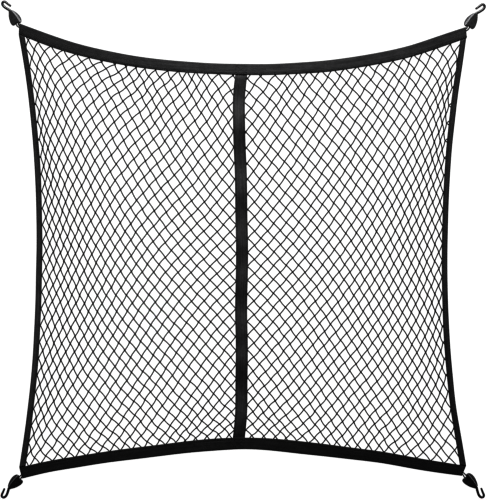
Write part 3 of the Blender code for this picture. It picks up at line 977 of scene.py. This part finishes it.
def strands(places, first, last):
    """Every diagonal strand between two half columns, its ends inside the folds."""
    rng = np.random.default_rng(SEED + first)
    found = []
    for step in (1, -1):
        starts = [(first, row) for row in range(ROWS + 1)]
        edge = 0 if step > 0 else ROWS
        starts += [(column, edge) for column in range(first + 1, last)]
        for column, row in starts:
            count = min(last - column, ROWS - row if step > 0 else row)
            if np.isnan(places[column, row, 0]) or count < 1:
                continue
            run = np.arange(count + 1)
            knots = places[column + run, row + step * run]
            line = strand(knots, row + step * run, rng)
            if column != UNDER_STRAP:
                line = np.vstack([into_fold(knots[0], column, row, (-1, step)), line])
            if column + count != UNDER_STRAP:
                end = into_fold(knots[-1], column + count, row + step * count, (1, -step))
                line = np.vstack([line, end])
            found.append(press_down(line))
    return found


def shown_knots(places, first, last):
    """The knots between two half columns that no fold hides."""
    x, y = places[..., 0], places[..., 1]
    clear = np.minimum(x - left_inner(y), right_inner(y) - x)
    clear = np.minimum(clear, np.minimum(top_inner(x) - y, y - bottom_inner(x)))
    column = np.indices(x.shape)[0]
    with np.errstate(invalid="ignore"):
        shown = (clear > CLEAR_OF_FOLD) & (column >= first) & (column < last)
    return press_down(places[shown])


def knot_form(sides=5, steps=18):
    """A closed coil of two turns round the crossing, as seen on a pulled netting knot."""
    t = np.arange(steps) / steps * 4 * np.pi
    path = np.stack([np.cos(t), np.sin(t / 2), np.sin(t)], axis=1) * KNOT_COIL
    way = unit(np.roll(path, -1, axis=0) - np.roll(path, 1, axis=0))
    out = unit(path - way * np.sum(path * way, axis=1)[:, None])
    points = path[:, None] + KNOT_THREAD * circles(out, np.cross(way, out), sides)
    quads, _ = ring_faces(steps, sides, closed=True)
    return points.reshape(-1, 3), [quads[:, ::-1]], ring_uvs(t, sides)


def net():
    places = knot_places()
    form = knot_form()
    made = []
    for side, first, last in (("left", 0, UNDER_STRAP), ("right", UNDER_STRAP, LAST)):
        twine = tubes(f"net_{side}", strands(places, first, last), TWINE / 2, TWINE_SIDES, TWINE_BLACK)
        inner = shown_knots(places, first, last)
        rng = np.random.default_rng(SEED + last)
        lean = rng.normal(0, KNOT_LEAN, len(inner))
        size = KNOT_SIZE * rng.uniform(*KNOT_SIZES, len(inner))
        c, s = np.cos(lean) * size, np.sin(lean) * size
        flip = np.where(rng.random(len(inner)) < 0.5, -1, 1)
        zero = 0 * c
        ways = np.array([(c, -s * flip, zero), (s, c * flip, zero), (zero, zero, flip)])
        knots = copies(f"net_knots_{side}", form, inner, np.moveaxis(ways, 2, 0), TWINE_BLACK)
        made.append((twine, knots))
    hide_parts("net")
    return places, made


# --- hooks -------------------------------------------------------------------------------------
def hook_frame(x, y, degrees, side, size):
    """A function from a hook's own u, v to x, y."""
    turn = math.radians(degrees)
    v_way = size * np.array((math.cos(turn), math.sin(turn)))
    u_way = side * np.array((v_way[1], -v_way[0]))
    return lambda u, v: np.array((x, y)) + np.multiply.outer(u, u_way) + np.multiply.outer(v, v_way)


def closed_curve(points, steps):
    """A smooth closed curve through the points."""
    p = np.array(points, float)
    t = np.arange(steps) / steps * len(p)
    k = t.astype(int)
    s = (t - k)[:, None]
    a, b, c, d = (p[(k + shift) % len(p)] for shift in (-1, 0, 1, 2))
    return b + s * ((c - a) / 2 + s * (a - 2.5 * b + 2 * c - d / 2 + s * (1.5 * (b - c) + (d - a) / 2)))


def above(x):
    """x where it is above zero, with a soft crease."""
    return (x + np.sqrt(x * x + CREASE**2)) / 2


def past_facet_line(u, v):
    return u - curve_through(*zip(*FACET_LINE))(v)


def facet_highlight(u, v, highlight):
    """The facet is painted lighter than the rest of the body: a painted highlight of the light's
    reflection.
    """
    inner, rim, width = FACET_HIGHLIGHTS[highlight]
    past = past_facet_line(u, v)
    outward = between(inner, rim, smooth_step(past / width))
    return between(1, outward, smooth_step(past / 0.8 + 0.5))


def body_top(u, v, inset):
    """Height of the body's front: a flat face with rounded edges and one long facet."""
    past = past_facet_line(u, v)
    beyond = above(past - FACET_WIDTH)
    facet = FACET_SLOPE * (above(past) - beyond) + RIM_SLOPE * beyond
    edge = np.clip(1 - inset / BODY_ROUND, 0, 1)
    round_off = BODY_ROUND * (1 - np.sqrt(1 - edge**2))
    drop = round_off + above(facet - round_off)
    return RIM_LOW + above(BODY_HEIGHT - drop - RIM_LOW)


def hook_body(place, at, side, highlight):
    outline = closed_curve(BODY_OUTLINE, BODY_STEPS)
    a, b = np.array(BODY_SPINE)
    share = np.clip((outline - a) @ (b - a) / ((b - a) @ (b - a)), 0, 1)[:, None]
    inward = between(a, b, share) - outline
    deep = np.linalg.norm(inward, axis=1)[:, None]
    rings = []
    for inset in BODY_BACK:
        flat = outline + inward * np.minimum(inset / deep, BODY_DEEPEST)
        edge = 1 - inset / BODY_ROUND
        z = BODY_ROUND * (1 - math.sqrt(1 - edge**2))
        rings.append(np.column_stack([flat, np.full(len(flat), z)]))
    for inset in BODY_FRONT:
        flat = outline + inward * np.minimum(inset / deep, BODY_DEEPEST)
        real = np.linalg.norm(flat - outline, axis=1)
        rings.append(np.column_stack([flat, body_top(flat[:, 0], flat[:, 1], real)]))
    rings = np.array(rings)
    xy = at(rings[..., 0].ravel(), rings[..., 1].ravel())
    points = np.column_stack([xy, rings[..., 2].ravel()])
    faces = [f[:, ::-side] for f in ring_faces(len(rings), BODY_STEPS)]
    front = np.arange(len(rings))[:, None] >= len(BODY_BACK)
    # painted highlight: the facet is lighter as if it reflected the light
    shade = np.where(front, facet_highlight(rings[..., 0], rings[..., 1], highlight), 1)
    obj = new_object(f"hook_{place}", points, faces, PLASTIC, shade=shade)
    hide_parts("hook_body_" + place)
    return obj


def smooth_path(route, spacing):
    route = np.array(route, float)
    at = passed(route)
    return curve_through(at, route)(np.linspace(0, at[-1], round(at[-1] / spacing)))


def hook_wire(place, at):
    u, v = np.array(WIRE_ROUTE).T
    path = smooth_path(np.column_stack([at(u, v), np.full(len(u), BODY_HEIGHT / 2)]), WIRE_STEP)
    t = np.linspace(0, 1, len(path))
    radius = between(WIRE, WIRE_TIP, np.clip(2.5 * t - 1.5, 0, 1)) / 2
    to_tip = np.clip((1 - t) * len(path) * WIRE_STEP / radius, 0.02, 1)
    radius = radius * np.sqrt(1 - (1 - to_tip) ** 2)  # a round tip
    obj = tubes(f"wire_{place}", [path], radius, WIRE_SIDES, WIRE_BLACK)
    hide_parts("hook_wire_" + place)
    return obj


def cord_loop(place, at, x, y):
    """The loop from one bore in the body, round inside the fold at the tape's end, to the other."""
    outer = top_outer if y > 0 else bottom_outer
    end = TAPE_ENDS["band_top" if y > 0 else "band_bottom"][0 if x < 0 else 1][0]
    inward = 1 if x < 0 else -1
    corner = np.array((end, float(outer(end))))
    along = np.array((inward * 10, float(outer(end + inward * 10) - outer(end))))
    along = along / np.linalg.norm(along)
    across = np.array((-along[1], along[0]))
    across = across * np.sign(across[1]) * (-1 if y > 0 else 1)
    near, far = LOOP_FROM_EDGE
    middle, radius = (near + far) / 2, (far - near) / 2
    turn = []
    for bend in np.radians((0, 45, 90, 135, 180)):
        spot = corner + along * (LOOP_REACH + radius * math.sin(bend))
        turn.append((*(spot + across * (middle - radius * math.cos(bend))), MID))
    mouth = [(*(corner - along * LOOP_CLEAR + across * a), MID) for a in (near, far)]
    bores = CORD_BORES if y > 0 else CORD_BORES[::-1]
    bored = [[(*at(u, v), CORD_HEIGHT) for v in CORD_DEPTHS] for u in bores]
    path = smooth_path([*bored[0], mouth[0], *turn, mouth[1], *bored[1][::-1]], CORD_STEP)
    obj = tubes(f"cord_loop_{place}", [path], CORD / 2, CORD_SIDES, CORD_BLACK)
    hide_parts("cord_" + place)
    return obj


# --- stitching ---------------------------------------------------------------------------------
def stitch_form(sides=6):
    """A closed bead of thread, thick in the middle and sunk at both ends."""
    length, width, height = THREAD_SIZE
    turn = np.arange(sides) / sides * 2 * np.pi
    rings = []
    for place, size in THREAD_PROFILE:
        across = width / 2 * size * np.cos(turn)
        up = height * (size * np.sin(turn) * 0.5 + 0.35 * (size - 1))
        rings.append(np.stack([np.full(sides, length * place), across, up], axis=1))
    faces = [f[:, ::-1] for f in ring_faces(len(rings), sides)]
    return np.concatenate(rings), faces, ring_uvs([length * place for place, _ in THREAD_PROFILE], sides)


def stitch_row(line):
    """Places and directions of the stitches along a line of x, y, z points."""
    far = passed(line)
    at = np.arange(STITCH * 0.7, far[-1] - STITCH * 0.4, STITCH)
    spots = np.stack([np.interp(at, far, line[:, k]) for k in range(3)], axis=1)
    ahead = np.stack([np.interp(at + 0.5, far, line[:, k]) for k in range(3)], axis=1)
    return spots, unit(ahead - spots)


def sew(name, rows, seed):
    spots = np.concatenate([row[0] for row in rows])
    way = np.concatenate([row[1] for row in rows])
    rng = np.random.default_rng(seed)
    tilt = rng.normal(0, STITCH_TILT, len(way))
    way = unit(way + np.stack([-way[:, 1] * tilt, way[:, 0] * tilt, 0 * tilt], axis=1))
    aside = level_side(way)
    axes = np.stack([way, aside, np.cross(way, aside)], axis=2)
    obj = copies(name, stitch_form(), spots, axes, THREAD)
    return obj


def seam_line(outer, inner, low, high, along_x):
    """Points on the upper leaf of a folded tape, a little in from its open edge."""
    at = np.linspace(low, high, 240)
    edge_in, edge_out = inner(at), outer(at)
    side = edge_in + np.sign(edge_out - edge_in) * TAPE_SEAM
    z = np.full(len(at), MID + FOLD + TAPE / 2 - THREAD_SUNK)
    return np.column_stack([at, side, z] if along_x else [side, at, z])


def box_lines(outer, inner):
    """A crossed box of stitches over the end of the strap, on a long tape."""
    x = float(strap_x(float(inner(0))))
    low, high = sorted((float(outer(x)), float(inner(x))))
    left, right = x - BOX_WIDTH / 2, x + BOX_WIDTH / 2
    low, high = low + BOX_INSET, high - BOX_INSET
    z = MID + FOLD + TAPE / 2
    corners = [(left, low), (left, high), (right, high), (right, low), (left, low), (right, high)]
    lines = [np.array([(*a, z), (*b, z)]) for a, b in zip(corners, corners[1:])]
    return lines + [np.array([(left, high, z), (right, low, z)])]


def strap_seams(height):
    """A row of stitches inside each edge of the strap."""
    y = np.linspace(float(bottom_inner(0)) + 1, float(top_inner(0)) - 1, 400)
    found = []
    for side in (-1, 1):
        x = strap_x(y) + side * (STRAP_WIDTH / 2 - STRAP_SEAM)
        found.append(np.column_stack([x, y, height(x, y) + TAPE / 2 + STRAP_SEAM_UP]))
    return found


def stitching(height):
    seams = {}
    for side, outer, inner in EDGES:
        along_x = side in ("top", "bottom")
        seams[side] = [seam_line(outer, inner, *TAPE_SEAM_ENDS[side], along_x)]
        if along_x:
            seams[side] += box_lines(outer, inner)
    seams["strap"] = strap_seams(height)
    made = {}
    for k, (side, lines) in enumerate(seams.items()):
        made[side] = sew(f"seam_{side}", [stitch_row(line) for line in lines], SEED + k)
    return made


# --- the whole ---------------------------------------------------------------------------------
camera()
light()
world()
floor()
for side, outer, inner in EDGES:
    kind = long_tape if side in ("top", "bottom") else side_tape
    kind(f"tape_{side}", f"band_{side}", outer, inner, TAPE_SEEDS[side])
knots, panels = net()
height = strap_lie(knots)
strap = centre_strap(knots, height)
seams = stitching(height)
for place, x, y, degrees, side, size, highlight in HOOKS:
    at = hook_frame(x, y, degrees, side, size)
    hook_body(place, at, side, highlight)
    hook_wire(place, at)
    cord_loop(place, at, x, y)
